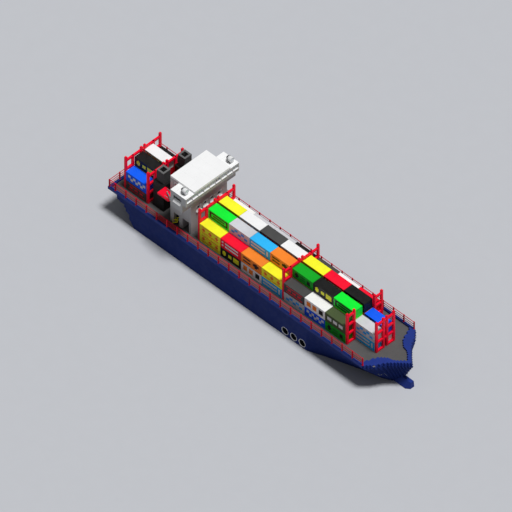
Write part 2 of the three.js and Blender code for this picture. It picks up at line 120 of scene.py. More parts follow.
class Graph:
    """The nodes of one material."""

    def __init__(self, material):
        material.use_nodes = True
        self.nodes, self.links = material.node_tree.nodes, material.node_tree.links

    def feed(self, socket, value):
        """Wires a socket to another one, or sets it to a number, a vector or a colour."""
        if isinstance(value, bpy.types.NodeSocket):
            self.links.new(value, socket)
        else:
            socket.default_value = value

    def add(self, kind, output, **inputs):
        """A new node; _ in the name of an input stands for a space."""
        node = self.nodes.new("ShaderNode" + kind)
        for name, value in inputs.items():
            self.feed(node.inputs[name.replace("_", " ")], value)
        return node.outputs[output]

    def noise(self, vector, scale, detail):
        return self.add("TexNoise", "Fac", Scale=scale, Detail=detail, Vector=vector)

    def ramp(self, value, low, high):
        ends = {"From_Min": NOISE_LOW, "From_Max": NOISE_HIGH, "To_Min": low, "To_Max": high}
        return self.add("MapRange", "Result", Value=value, **ends)

    def mix(self, factor, first, second):
        mix = self.nodes.new("ShaderNodeMix")
        mix.data_type = "RGBA"
        for name, value in (("Factor", factor), ("A", first), ("B", second)):
            self.feed(mix.inputs[name], value)
        return mix.outputs["Result"]

    def seams(self, vector, plane, plate):
        """Welded plates: a brick pattern laid on the plane, with a narrow seam between plates."""
        x, y = (self.add("SeparateXYZ", axis, Vector=vector) for axis in plane)
        return self.add(
            "TexBrick", "Fac", Scale=1.0, Brick_Width=plate[0], Row_Height=plate[1],
            Mortar_Size=SEAM_WIDTH, Mortar_Smooth=0.6,
            Vector=self.add("CombineXYZ", "Vector", X=x, Y=y),
        )

    def raised(self, seams, fine):
        add = self.nodes.new("ShaderNodeMath")
        add.operation = "MULTIPLY_ADD"
        for socket, value in zip(add.inputs, (seams, SEAM_HEIGHT, fine)):
            self.feed(socket, value)
        return add.outputs["Value"]

    def facing_up(self):
        """1 on faces that look up, which take the painted light, and 0 on walls."""
        normal = self.nodes.new("ShaderNodeNewGeometry").outputs["True Normal"]
        up = self.add("SeparateXYZ", "Z", Vector=normal)
        ends = {"From_Min": WALL_NORMAL, "From_Max": ROOF_NORMAL}
        return self.add("MapRange", "Result", Value=up, **ends)


def paint(
    name, code, rough=0.42, metal=0.0, worn=0.10, grime=0.05, plate=None, plane="XZ",
    grain=0.12, gloss=0.25, lit_top_colour=None,
):
    """Paint or bare metal with an uneven tint, faint run-down streaks, brush grain and weld seams.

    plate is the size of a welded plate on the plane, and the top colour, if given, is painted light:
    the colour that upward faces take.
    """
    material = bpy.data.materials.new(name)
    graph = Graph(material)
    shader = graph.nodes["Principled BSDF"].inputs
    place = graph.nodes.new("ShaderNodeTexCoord").outputs["Object"]
    colour = linear(code)
    faded, dirty, edged = (
        [c * share + add for c in colour[:3]] + [1.0]
        for share, add in ((1 - worn, 0), (0.55, 0.03), (0.8, 0))
    )
    patches = graph.ramp(graph.noise(place, PATCH_SCALE, 5.0), 0.0, 1.0)
    tint = graph.mix(patches, colour, faded)
    stretched = graph.add("Mapping", "Vector", Scale=RUN_STRETCH, Vector=place)
    runs = graph.noise(stretched, 1.0, 4.0)
    tint = graph.mix(graph.ramp(runs, 0.0, grime), tint, dirty)
    # Painted light: upward faces turn to the lighter top colour.
    if lit_top_colour:
        tint = graph.mix(graph.facing_up(), tint, linear(lit_top_colour))
    height = graph.noise(place, GRAIN_SCALE, 2.0)
    if plate:
        seams = graph.seams(place, plane, plate)
        tint = graph.mix(seams, tint, edged)
        height = graph.raised(seams, height)
    wear = graph.ramp(graph.noise(place, WEAR_SCALE, 4.0), rough - 0.08, rough + 0.1)
    bump = graph.add("Bump", "Normal", Strength=grain, Distance=BUMP_DISTANCE, Height=height)
    for socket, value in (
        ("Base Color", tint), ("Roughness", wear), ("Metallic", metal),
        ("Specular IOR Level", gloss), ("Normal", bump),
    ):
        graph.feed(shader[socket], value)
    return material


def glazing(name, code):
    material = paint(name, code, rough=0.12, worn=0.3, grime=0.0, grain=0.0)
    material.node_tree.nodes["Principled BSDF"].inputs["Coat Weight"].default_value = 1.0
    return material


# A darker copy of the bulwark blue: painted shade on the hull's sides, the middle body and the
# rudder.
HULL = paint("hull blue", "1a2c6c", rough=0.6, plate=(0.62, 0.21), grime=0.06, gloss=0.06)
HULL_TRIM = paint("bulwark blue", "233887", rough=0.55, gloss=0.1)
# Lighter than the deck's own mid grey 4c4c4c: painted light against the shade from the house and the
# containers.
DECK = paint("deck grey lightened as painted light", "585858", rough=0.8, plate=(0.6, 0.25), plane="XY", grain=0.5)
# The house is white: its walls' grey bcbcbc is painted shade, and its upward faces are painted light
# in white.
HOUSE_WHITE = paint("house white", "bcbcbc", worn=0.03, plate=(0.3, 0.25), gloss=0.1, lit_top_colour="f6f6f6")
WHITE = paint("frame white", "f6f6f6", rough=0.45, worn=0.03)
ROOF_WHITE = paint("roof white", "f6f6f6", rough=0.6, worn=0.03, plate=(0.26, 0.26), plane="XY")
RED = paint("signal red", "ff002f", rough=0.4, grime=0.03)
# A darker copy of the signal red: painted shade on the thin rails.
RAIL_RED_SHADED = paint("rail red darkened as painted shade", "d00028", rough=0.5, grime=0.03, gloss=0.08)
BLACK = paint("casing black", "161616", rough=0.5, worn=0.25, plate=(0.15, 0.12))
DARK = paint("funnel grey", "4c4c4c", rough=0.6, plate=(0.2, 0.1), gloss=0.1)
# Soot on the exhaust pipes, and painted shade on the dark disc that closes the fairlead's hole.
SOOT_AND_HOLE_SHADE = paint("soot and hole shade", "222222", rough=0.9, worn=0.4)
STEEL = paint("galvanised steel", "9a9b9d", rough=0.5, metal=0.3, worn=0.15)
# Near-white steel, brighter than bare steel: painted light on the thruster rotors and the tunnel
# mouth rings, which sit in shade; the propeller shafts share it.
STEEL_BRIGHTENED = paint("steel brightened as painted light", "f2f2f4", rough=0.6, worn=0.05)
# Dark grey as painted shade inside the thruster tunnels.
LINER_SHADE = paint("tunnel liner darkened as painted shade", "2c3038", rough=0.8, grime=0.12, gloss=0.05)
RIM_GREY = paint("rim grey", "6a6a6a", rough=0.5)
LAMP_WHITE = paint("lamp housing white", "eceded", rough=0.45)
BRONZE = paint("cast bronze", "b58a45", rough=0.32, metal=0.9, worn=0.25)
YELLOW_TRIM = paint("handrail yellow", "fffe2b", rough=0.6)
# Black rubber for the lifeboat's fenders and keel strip and the door gaskets, and painted shade for
# the containers' casting holes.
RUBBER_AND_HOLE_SHADE = paint("black rubber and hole shade", "1b1b1b", rough=0.75)
GLASS = glazing("window glass", "4c5054")
PALE_GLASS = glazing("bridge glass", "a9aeb2")
LENS = glazing("lamp lens", "e6ebee")


# ---- shapes ----------------------------------------------
class Shape:
    """The faces of one piece, in ship metres, each with the number of its paint."""

    def __init__(self):
        self.points = []
        self.faces = []
        self.paints = []

    def face(self, corners, paint=0):
        start = len(self.points)
        self.points.extend(Vector(c) for c in corners)
        self.faces.append(tuple(range(start, start + len(corners))))
        self.paints.append(paint)

    def box(self, x, y, z, paint=0):
        (x0, x1), (y0, y1), (z0, z1) = x, y, z
        low = [(x0, y0, z0), (x1, y0, z0), (x1, y1, z0), (x0, y1, z0)]
        high = [(a, b, z1) for a, b, _ in low]
        self.face(low[::-1], paint)
        self.face(high, paint)
        for i in range(4):
            j = (i + 1) % 4
            self.face([low[i], low[j], high[j], high[i]], paint)

    def rings(self, rings, paint=0, closed=True):
        """A skin through rings of points of one length, capped at both ends."""
        count = len(rings[0])
        for near, far in zip(rings, rings[1:]):
            for i in range(count):
                j = (i + 1) % count
                self.face([near[i], near[j], far[j], far[i]], paint)
        if closed:
            self.face(rings[0][::-1], paint)
            self.face(rings[-1], paint)

    def turned(self, origin, axis, profile, paint=0, sides=20):
        """A turned solid: profile lists (distance along the axis, radius)."""
        origin, axis = Vector(origin), Vector(axis).normalized()
        side = axis.orthogonal().normalized()
        rings = []
        for along, radius in profile:
            ring = []
            for a in circle(sides):
                spoke = Matrix.Rotation(a, 3, axis) @ side
                ring.append(origin + axis * along + spoke * max(radius, 1e-4))
            rings.append(ring)
        self.rings(rings, paint)

    def rod(self, start, end, radius, paint=0, sides=12):
        start, end = Vector(start), Vector(end)
        self.turned(start, end - start, [(0, radius), ((end - start).length, radius)], paint, sides)

    def mirrored(self):
        other = Shape()
        other.points = [Vector((p.x, -p.y, p.z)) for p in self.points]
        other.faces = [tuple(reversed(f)) for f in self.faces]
        other.paints = list(self.paints)
        return other

    def make(self, name, paints, slot, body="ship", replaces=(), bevel=0.0, angle=35):
        mesh = bpy.data.meshes.new(name)
        mesh.from_pydata([to_frame(p) for p in self.points], [], self.faces)
        for material in paints:
            mesh.materials.append(material)
        mesh.polygons.foreach_set("material_index", self.paints)
        weld(mesh)
        mesh.polygons.foreach_set("use_smooth", [True] * len(mesh.polygons))
        mesh.set_sharp_from_angle(angle=radians(angle))
        piece = add_object(name, mesh)
        if bevel:
            add_bevel(piece, bevel)
        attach(piece, body)
        if replaces:
            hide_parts(*replaces)
        return piece


def add_object(name, data):
    item = bpy.data.objects.new(name, data)
    bpy.context.scene.collection.objects.link(item)
    return item


def weld(mesh):
    work = bmesh.new()
    work.from_mesh(mesh)
    bmesh.ops.remove_doubles(work, verts=work.verts, dist=1e-6)
    work.to_mesh(mesh)
    work.free()


def add_bevel(piece, width):
    bevel = piece.modifiers.new("edges", "BEVEL")
    bevel.width = width * SCALE
    bevel.segments = 2
    bevel.limit_method = "ANGLE"
    bevel.angle_limit = radians(40)
    bevel.harden_normals = True


def dress(node, material, bevel):
    """Paints a carried-over CAD node, and softens its edges."""
    piece = frame["nodes"][node]
    piece.data.materials.clear()
    piece.data.materials.append(material)
    add_bevel(piece, bevel)


def on_both_sides(build, name, paints, **settings):
    """Makes a starboard piece and its mirror image to port. {} in a setting is the side's name."""
    starboard = build()
    for side, shape in zip(SIDES, (starboard, starboard.mirrored())):
        filled = {}
        for key, value in settings.items():
            if isinstance(value, str):
                value = value.format(side)
            elif isinstance(value, tuple):
                value = tuple(v.format(side) for v in value)
            filled[key] = value
        shape.make(name.format(side), paints, **filled)


def moving(build, node, name, paints, slot, bevel=0.0):
    """A pair of pieces, each riding on the body that has its CAD node's name."""
    node = node + "_{}"
    on_both_sides(build, name, paints, body=node, replaces=(node,), slot=slot, bevel=bevel)


# ---- camera, light and floor -----------------------------
AZIMUTH, ELEVATION = radians(45), radians(45)
VIEW_WIDTH = 105.46  # ship metres across the picture
AIM = (31.04, 4.39, 0)
EYE_DISTANCE, CLIP_END = 30, 200
KEY_STRENGTH, KEY_SPREAD, KEY_TILT = 2.85, 14, (-3, 13, 0)  # angles in degrees
SKY, SKY_STRENGTH = (0.95, 0.97, 1.0, 1.0), 0.15
FLOOR_REACH = 60


def camera():
    data = bpy.data.cameras.new("camera")
    data.type = "ORTHO"
    data.ortho_scale = VIEW_WIDTH * SCALE
    data.clip_end = CLIP_END
    eye = add_object("camera", data)
    flat = cos(ELEVATION)
    back = Vector((sin(AZIMUTH) * flat, -cos(AZIMUTH) * flat, sin(ELEVATION)))
    eye.location = to_frame(AIM) + back * EYE_DISTANCE
    eye.rotation_euler = (-back).to_track_quat("-Z", "Y").to_euler()
    bpy.context.scene.camera = eye


def lights():
    sun = bpy.data.lights.new("key", "SUN")
    sun.energy = KEY_STRENGTH
    sun.angle = radians(KEY_SPREAD)
    key = add_object("key", sun)
    key.rotation_euler = [radians(a) for a in KEY_TILT]
    world = bpy.data.worlds.new("studio")
    world.use_nodes = True
    background = world.node_tree.nodes["Background"]
    background.inputs["Color"].default_value = SKY
    background.inputs["Strength"].default_value = SKY_STRENGTH
    bpy.context.scene.world = world
    bpy.context.scene.view_settings.view_transform = "Standard"


def floor():
    mesh = bpy.data.meshes.new("floor")
    corners = [(x * FLOOR_REACH, y * FLOOR_REACH, 0) for x, y in SQUARE]
    mesh.from_pydata(corners, [], [(0, 1, 2, 3)])
    matt = paint("floor", "bfc1c6", rough=0.9, worn=0.01, grime=0.0, grain=0.0)
    mesh.materials.append(matt)
    add_object("floor", mesh)


# ---- hull ------------------------------------------------
FORE_LOW, FORE_HIGH = span("hull_fore_body")
# Half breadths of the fore body at its foot and its top, and of the deck inside the bulwark: x, y.
BOTTOM_LINE = [
    (57.72, 7.75), (62, 6.08), (67.2, 4.35), (70.9, 3.15), (73.9, 2.35),
    (75.5, 1.75), (76.5, 1.2), (77.1, 0.6), (77.4, 0),
]
DECK_LINE = [
    (57.72, 7.75), (62, 7.75), (67.2, 7.75), (70.9, 7.75), (74, 7.75),
    (75.75, 5.85), (77.0, 3.6), (78.6, 1.95), (80.8, 0),
]
BOW_INNER_LINE = [
    (73.0, 7.25), (73.6, 6.2), (74.0, 5.0), (74.6, 3.7), (76.1, 2.3),
    (77.4, 2.0), (78.2, 1.4), (79.6, 0),
]
TUNNELS = ["thruster_rotor_aft", "thruster_rotor_middle", "thruster_rotor_front"]
TUNNEL_RADIUS = 0.95
TUNNEL_SIDES = 40
TUNNEL_MARGIN = 0.02  # of flat plating ahead of the last tunnel


def along(line, x):
    """The half breadth of an outline at x, or 0 ahead of its end."""
    if x <= line[0][0]:
        return line[0][1]
    for (x0, y0), (x1, y1) in zip(line, line[1:]):
        if x <= x1:
            return y0 + (y1 - y0) * (x - x0) / (x1 - x0)
    return 0.0


def half_breadth(x, z):
    rise = min(z / FORE_HIGH.z, 1)
    line = [
        (bx + (dx - bx) * rise, by + (dy - by) * rise)
        for (bx, by), (dx, dy) in zip(BOTTOM_LINE, DECK_LINE)
    ]
    return along(line, x)


def tunnel_centres():
    return [centre_of(name + "_starboard")[::2] for name in TUNNELS]


def slab_with_tunnels(shape, x_end):
    """The flat-sided part of the fore body, with the three tunnels' mouths cut in both sides."""
    x0, z1, side = FORE_LOW.x, FORE_HIGH.z, HALF_BEAM
    loops = [[(x0, 0), (x_end, 0), (x_end, z1), (x0, z1)]]
    for cx, cz in tunnel_centres():
        loops.append([
            (cx + TUNNEL_RADIUS * cos(a), cz + TUNNEL_RADIUS * sin(a))
            for a in circle(TUNNEL_SIDES)
        ])
    flat = [point for loop in loops for point in loop]
    triangles = tessellate_polygon([[Vector((x, z, 0)) for x, z in loop] for loop in loops])
    for triangle in triangles:
        corners = [flat[i] for i in triangle]
        (ax, az), (bx, bz), (cx, cz) = corners
        if (bx - ax) * (cz - az) - (bz - az) * (cx - ax) < 0:
            corners.reverse()
        shape.face([(x, -side, z) for x, z in corners])
        shape.face([(x, side, z) for x, z in reversed(corners)])
    for loop in loops[1:]:
        for (ax, az), (bx, bz) in zip(loop, loop[1:] + loop[:1]):
            shape.face([(ax, -side, az), (bx, -side, bz), (bx, side, bz), (ax, side, az)], 1)
    shape.face([(x0, -side, 0), (x0, side, 0), (x_end, side, 0), (x_end, -side, 0)])
    shape.face([(x0, -side, z1), (x_end, -side, z1), (x_end, side, z1), (x0, side, z1)])
    shape.face([(x0, -side, 0), (x0, -side, z1), (x0, side, z1), (x0, side, 0)])


def steps_from(x, end):
    """The stations at which the stepped plating changes breadth."""
    stations = [x]
    while stations[-1] < end:
        stations.append(stations[-1] + (BLOCK if stations[-1] < BOW_STEPS else 2 * BLOCK))
    return stations


def stepped_bow(shape, x_start):
    """The flared bow as courses of blocks, each course one layer high."""
    layers = round(FORE_HIGH.z / BLOCK)
    layer = FORE_HIGH.z / layers
    stations = steps_from(x_start, FORE_HIGH.x)
    here = [half_breadth(x_start, (k + 0.5) * layer) for k in range(layers)]
    for xa, xb in zip(stations, stations[1:]):
        ahead = [half_breadth(xb, (k + 0.5) * layer) for k in range(layers)]
        for k in range(layers):
            za, zb = k * layer, (k + 1) * layer
            wide, next_wide = here[k], ahead[k]
            below = here[k - 1] if k else 0.0
            for s in (-1, 1):
                y, y_next, y_below = s * wide, s * next_wide, s * below
                if wide:
                    side = [(xa, y, za), (xb, y, za), (xb, y, zb), (xa, y, zb)]
                    shape.face(flip(s, side))
                if wide > next_wide:
                    front = [(xb, y, za), (xb, y_next, za), (xb, y_next, zb), (xb, y, zb)]
                    shape.face(flip(s, front))
                if wide > below:
                    under = [(xa, y_below, za), (xb, y_below, za), (xb, y, za), (xa, y, za)]
                    shape.face(flip(s, under))
        if here[-1]:
            z, wide = FORE_HIGH.z, here[-1]
            shape.face([(xa, -wide, z), (xb, -wide, z), (xb, wide, z), (xa, wide, z)])
        here = ahead


def flip(side, corners):
    """Corners wound for a starboard face, turned over for a port one."""
    return corners if side < 0 else corners[::-1]


# x, half widths at the foot and the top, then the heights of the edge and the top.
BULB = [
    (75.5, 1.2, 0.4, 0.25, 1.77),
    (80.1, 1.2, 0.4, 0.25, 1.77),
    (80.98, 0.55, 0.42, 0.25, 1.7),
]
BULB_FOOT = 0.02  # clear of the floor


def bulb():
    """A ridge with a flat top and a blunt nose."""
    shape = Shape()
    rings = []
    for x, foot, top, edge, height in BULB:
        right = [(foot, BULB_FOOT), (foot, edge), (top, height)]
        rings.append([(x, y, z) for y, z in right] + [(x, -y, z) for y, z in reversed(right)])
    shape.rings(rings)
    shape.make(
        "bulb_plating", [HULL_TRIM],
        replaces=("bulbous_bow",), slot="hull_blue", bevel=0.012, angle=10,
    )


def thruster_mouths(shape):
    """A ring set in each tunnel's mouth, a little proud of the plating."""
    profile = [(-0.12, -0.06), (0.02, -0.06), (0.03, -0.04), (0.03, 0.01), (0.0, 0.02)]
    for cx, cz in tunnel_centres():
        for side in (-1, 1):
            loops = []
            for proud, out in profile:
                radius = TUNNEL_RADIUS + out
                y = side * (HALF_BEAM + proud)
                loops.append([
                    (cx + radius * cos(a), y, cz + radius * sin(a))
                    for a in circle(TUNNEL_SIDES)
                ])
            # The mouth rings take the brightened steel: painted light.
            shape.rings(loops if side > 0 else loops[::-1], 2, closed=False)


def hull():
    dress("hull_middle_body", HULL, bevel=0.03)
    bulb()
    shape = Shape()
    x_split = tunnel_centres()[-1][0] + TUNNEL_RADIUS + TUNNEL_MARGIN
    slab_with_tunnels(shape, x_split)
    stepped_bow(shape, x_split)
    thruster_mouths(shape)
    # The tunnels' liner, paint 1 here, is painted shade, and their mouth rings, paint 2, are painted
    # light.
    shape.make(
        "hull_fore_plating", [HULL, LINER_SHADE, STEEL_BRIGHTENED],
        replaces=("hull_fore_body",), slot="hull_blue",
    )
    on_both_sides(bow_fittings, "bow_fittings_{}", [STEEL, SOOT_AND_HOLE_SHADE], slot="bare_steel")


FAIRLEAD = (75.79, -6.02, 6.95)
FAIRLEAD_RING = ((0.09, 0), (0.09, 0.1), (0.14, 0.12), (0.18, 0.1), (0.18, 0))  # reach, depth
STUDS = ((75.2, 2.6), (75.2, 3.1), (75.6, 2.9), (76.2, 2.5), (76.2, 3.0), (76.2, 3.5))  # x, z


def bow_fittings():
    """A mooring fairlead through the bulwark, and two columns of anode studs low on the flare."""
    shape = Shape()
    heading = Vector((1.9, -1.75, 0)).normalized()
    across = Vector((0, 0, 1)).cross(heading)
    middle = Vector(FAIRLEAD) + heading * 0.1
    rings = []
    for reach, depth in FAIRLEAD_RING:
        loop = []
        for a in circle(24):
            rise = Vector((0, 0, sin(a) * reach * 0.8))
            loop.append(middle + across * cos(a) * reach * 1.5 + rise)
        rings.append([p + heading * depth for p in loop])
    shape.rings(rings, 0, closed=False)
    # A dark disc just inside the ring: painted shade in place of the open hole.
    shape.face([p + heading * 0.02 for p in rings[0]], 1)
    for x, z in STUDS:
        y = half_breadth(x, z)
        shape.turned((x, -y, z), heading, [(0, 0.11), (0.3, 0.11), (0.34, 0.06)], 0, 12)
    return shape


DECK_LAP = 0.1


def deck_and_bulwark():
    """The deck runs a little way in under the bulwark, which has a broad stepped top at the bow."""
    rim_low, rim_high = span("bulwark")
    deck_low, deck_high = span("main_deck")
    z = (rim_low.z, rim_high.z)
    width = deck_low.x
    straight = BOW_INNER_LINE[0][0]
    rim, deck = Shape(), Shape()
    rim.box((0, width), (-HALF_BEAM, HALF_BEAM), z)
    for s in (-1, 1):
        rim.box((width, straight), sorted((s * HALF_BEAM, s * (HALF_BEAM - width))), z)
    deck_z = (deck_low.z, deck_high.z)
    side = HALF_BEAM - width + DECK_LAP
    deck.box((width - DECK_LAP, straight), (-side, side), deck_z)
    stations = steps_from(straight, rim_high.x)
    for xa, xb in zip(stations, stations[1:]):
        outer = along(DECK_LINE, (xa + xb) / 2)
        inner = min(along(BOW_INNER_LINE, (xa + xb) / 2), outer)
        if outer <= 0:
            continue
        if inner > 0:
            deck.box((xa, xb), (-inner - DECK_LAP, inner + DECK_LAP), deck_z)
            for s in (-1, 1):
                rim.box((xa, xb), sorted((s * outer, s * inner)), z)
        else:
            rim.box((xa, min(xb, rim_high.x)), (-outer, outer), z)
    rim.make("bulwark_plating", [HULL_TRIM], replaces=("bulwark",), slot="hull_blue")
    deck.make("deck_plating", [DECK], replaces=("main_deck",), slot="deck_grey")


RAIL_FIRST = 1.87  # from the stern corner to the first post on the side
RAIL_POST = 0.24
RAIL_BAR = 0.075
RAIL_DROPS = (0.12, 0.78, 1.36)
SIDE_POSTS, STERN_POSTS = 25, 6


def rail_post(shape, x, y, foot, top):
    shape.box(about(x, RAIL_POST / 2), about(y, RAIL_POST / 2), (foot, top))
    shape.box(about(x, 0.18), about(y, 0.18), (foot, foot + 0.05))


def rails():
    stern_low, stern_high = span("rail_stern")
    for side in SIDES:
        low, high = span("rail_" + side)
        y = centre_of("rail_" + side)[1]
        shape = Shape()
        start, end = stern_low.x + RAIL_FIRST, high.x - RAIL_POST / 2
        for i in range(SIDE_POSTS):
            x = start + (end - start) * i / (SIDE_POSTS - 1)
            rail_post(shape, x, y, low.z, high.z)
        for drop in RAIL_DROPS:
            z = high.z - drop
            shape.rod((low.x, y, z), (end, y, z), RAIL_BAR, sides=8)
        shape.make("guard_rail_" + side, [RAIL_RED_SHADED], replaces=("rail_" + side,), slot="signal_red")
    x = centre_of("rail_stern")[0]
    shape = Shape()
    start, end = stern_low.y + RAIL_POST / 2, stern_high.y - RAIL_POST / 2
    for i in range(STERN_POSTS):
        y = start + (end - start) * i / (STERN_POSTS - 1)
        rail_post(shape, x, y, stern_low.z, stern_high.z)
    for drop in RAIL_DROPS:
        z = stern_high.z - drop
        shape.rod((x, start, z), (x, end, z), RAIL_BAR, sides=8)
    shape.make("guard_rail_stern", [RAIL_RED_SHADED], replaces=("rail_stern",), slot="signal_red")


# ---- house -----------------------------------------------
def window_liner(shape, x, y, z, depth):
    """A recessed window looking forward: a white box frame, a proud sill and a pane at its back."""
    (y0, y1), (z0, z1) = y, z
    wall = 0.06
    back = x - depth
    shape.box((back, x + 0.03), (y0 - wall, y0), (z0 - wall, z1 + wall))
    shape.box((back, x + 0.03), (y1, y1 + wall), (z0 - wall, z1 + wall))
    shape.box((back, x + 0.3), (y0 - wall, y1 + wall), (z0 - wall * 2, z0))
    shape.box((back, x + 0.03), (y0, y1), (z1, z1 + wall))
    shape.box((back - 0.05, back + 0.02), (y0 - wall, y1 + wall), (z0 - wall, z1 + wall), 1)
    shape.box((back + 0.02, back + 0.05), about((y0 + y1) / 2, 0.03), (z0, z1))


def framed_pane(shape, x, y, z):
    """A pane facing forward or aft, with a rim and a middle bar on both sides of it."""
    (y0, y1), (z0, z1) = y, z
    shape.box(about(x, 0.02), y, z, 1)
    for edge in ((y0, y0 + 0.07), about((y0 + y1) / 2, 0.03), (y1 - 0.07, y1)):
        shape.box(about(x, 0.05), edge, z)
    for edge in ((z0, z0 + 0.07), (z1 - 0.07, z1)):
        shape.box(about(x, 0.05), (y0 + 0.07, y1 - 0.07), edge)


BRIDGE_PITCH, BRIDGE_PANE_Z = 1.68, (17.75, 18.6)
CLEAR_PANE = 5  # the one darker pane in the bridge's front


def house():
    dress("house_tower", HOUSE_WHITE, bevel=0.03)
    dress("wheelhouse", HOUSE_WHITE, bevel=0.03)
    dress("wheelhouse_roof", ROOF_WHITE, bevel=0.04)
    low, high = span("house_tower")
    cabin = Shape()
    for y in (-3, -1, 1, 3):
        window_liner(cabin, high.x, about(y, 0.69), (12.08, 13.44), 0.55)
        framed_pane(cabin, low.x + 0.12, about(y, 0.49), (12.01, 13.24))
    cabin.make("cabin_windows", [WHITE, GLASS], slot="house_white")
    low, high = span("wheelhouse")
    bridge = Shape()
    for i in range(9):
        y = (i - 4) * BRIDGE_PITCH
        pane = 1 if i == CLEAR_PANE else 2
        bridge.box((high.x - 0.2, high.x - 0.16), about(y, 0.7), BRIDGE_PANE_Z, pane)
        for edge in (y - 0.7, y - 0.03, y + 0.64):
            bridge.box((high.x - 0.22, high.x - 0.08), (edge, edge + 0.06), BRIDGE_PANE_Z)
        bridge.box((high.x - 0.2, high.x + 0.16), about(y, 0.76), (17.66, 17.78))
    for y in (-3, 0, 3):
        framed_pane(bridge, low.x + 0.12, about(y, 0.59), (16.51, 17.99))
    bridge.make("bridge_windows", [WHITE, GLASS, PALE_GLASS], slot="house_white")
    on_both_sides(wing_window, "wing_window_{}", [WHITE, PALE_GLASS, GLASS], slot="house_white")


def wing_window():
    """The wing's side opening, with a deep white sill, and the door beside it."""
    shape = Shape()
    x, z = (19.11, 21.29), (16.26, 17.99)
    wall, back = -HALF_BEAM, -HALF_BEAM + 0.62
    shape.box(x, (back, back + 0.04), z, 1)
    for edge in (x[0], x[0] + 0.7, x[0] + 1.41, x[1] - 0.07):
        shape.box((edge, edge + 0.07), (back - 0.04, back + 0.08), z)
    sill = [(wall - 0.3, 16.28), (wall - 0.3, 16.36), (wall + 0.3, 17.0), (wall + 0.3, 16.28)]
    shape.rings([[(x[0] + 0.02, y, h) for y, h in sill], [(x[1] - 0.02, y, h) for y, h in sill]])
    outside, inside = -5.13, -5.05
    shape.box((16.76, 17.99), (outside, inside), (15.01, 18.49))
    shape.box((17.05, 17.7), (outside - 0.02, outside), (16.9, 18.0), 2)
    handle = outside - 0.08
    shape.rod((17.86, handle, 16.4), (17.86, handle, 16.7), 0.03, 2, 8)
    return shape


def stairs():
    """Yellow stairs up to the machinery level, in the mouth of the passage through the house."""
    shape = Shape()
    for side in (-1, 1):
        outer, inner = side * 5.6, side * 4.8
        for i in range(8):
            x, z = 16.85 + i * 0.16, 6.62 + i * 0.15
            shape.box((x, x + 0.2), sorted((outer, inner)), (z, z + 0.06), 1)
        for y in (outer, inner):
            shape.rod((16.8, y, 6.66), (18.15, y, 7.85), 0.09, sides=8)
            shape.rod((16.8, y, 7.5), (18.1, y, 8.6), 0.06, sides=8)
            for x, z in ((16.8, 6.6), (17.45, 7.2), (18.1, 7.8)):
                shape.rod((x, y, z), (x, y, z + 0.9), 0.05, sides=8)
        shape.box((16.9, 18.1), sorted((side * 4.6, side * 1.4)), (6.56, 9.1), 2)
    shape.make("machinery_stairs", [YELLOW_TRIM, DARK, BLACK], slot="casing_black")


def searchlight():
    low, high = span("searchlight_starboard")
    x, y, _ = centre_of("searchlight_starboard")
    radius, half = (high.y - low.y) / 2, (high.x - low.x) / 2
    centre = (x, y, high.z - radius)
    foot, arm = low.z, radius + 0.06
    shape = Shape()
    base = [(0, 0.4), (0.06, 0.4), (0.1, 0.32), (0.14, 0.16), (0.24, 0.14)]
    shape.turned((x, y, foot), (0, 0, 1), base)
    shape.box(about(x, 0.12), about(y, arm), (foot + 0.2, foot + 0.28))
    for side in (-1, 1):
        post = sorted((y + side * arm, y + side * (arm - 0.05)))
        shape.box(about(x, 0.12), post, (foot + 0.2, centre[2] + 0.1))
    drum = [(-half * 0.6, 0.2), (-half * 0.55, radius * 0.7), (-half * 0.35, radius * 0.96)]
    drum += [(half * 0.9, radius * 0.96), (half * 0.92, radius), (half, radius)]
    drum += [(half, radius * 0.88), (half * 0.9, radius * 0.86)]
    shape.turned(centre, (1, 0, 0), drum, 1, 32)
    lens = [(half * 0.86, radius * 0.86), (half * 0.94, radius * 0.8)]
    lens += [(half * 0.99, radius * 0.4), (half, 0.04)]
    shape.turned(centre, (1, 0, 0), lens, 2, 32)
    cap_z = (centre[2] - 0.28, centre[2] + 0.3)
    shape.box((x - half, x - half * 0.55), about(y, 0.3), cap_z, 3)
    for i in range(4):
        fin = x - half * (0.5 - i * 0.1)
        disc = [(0, radius * 0.99), (0.03, radius * 0.99)]
        shape.turned((fin, y, centre[2]), (1, 0, 0), disc, 0, 32)
    return shape


# ---- funnels ---------------------------------------------
def funnels():
    for side in SIDES:
        dress("funnel_casing_" + side, BLACK, bevel=0.05)
        dress("funnel_stack_" + side, DARK, bevel=0.03)
    paints = [SOOT_AND_HOLE_SHADE, STEEL, DARK, RIM_GREY]
    on_both_sides(funnel_fittings, "funnel_fittings_{}", paints, slot="funnel_grey")


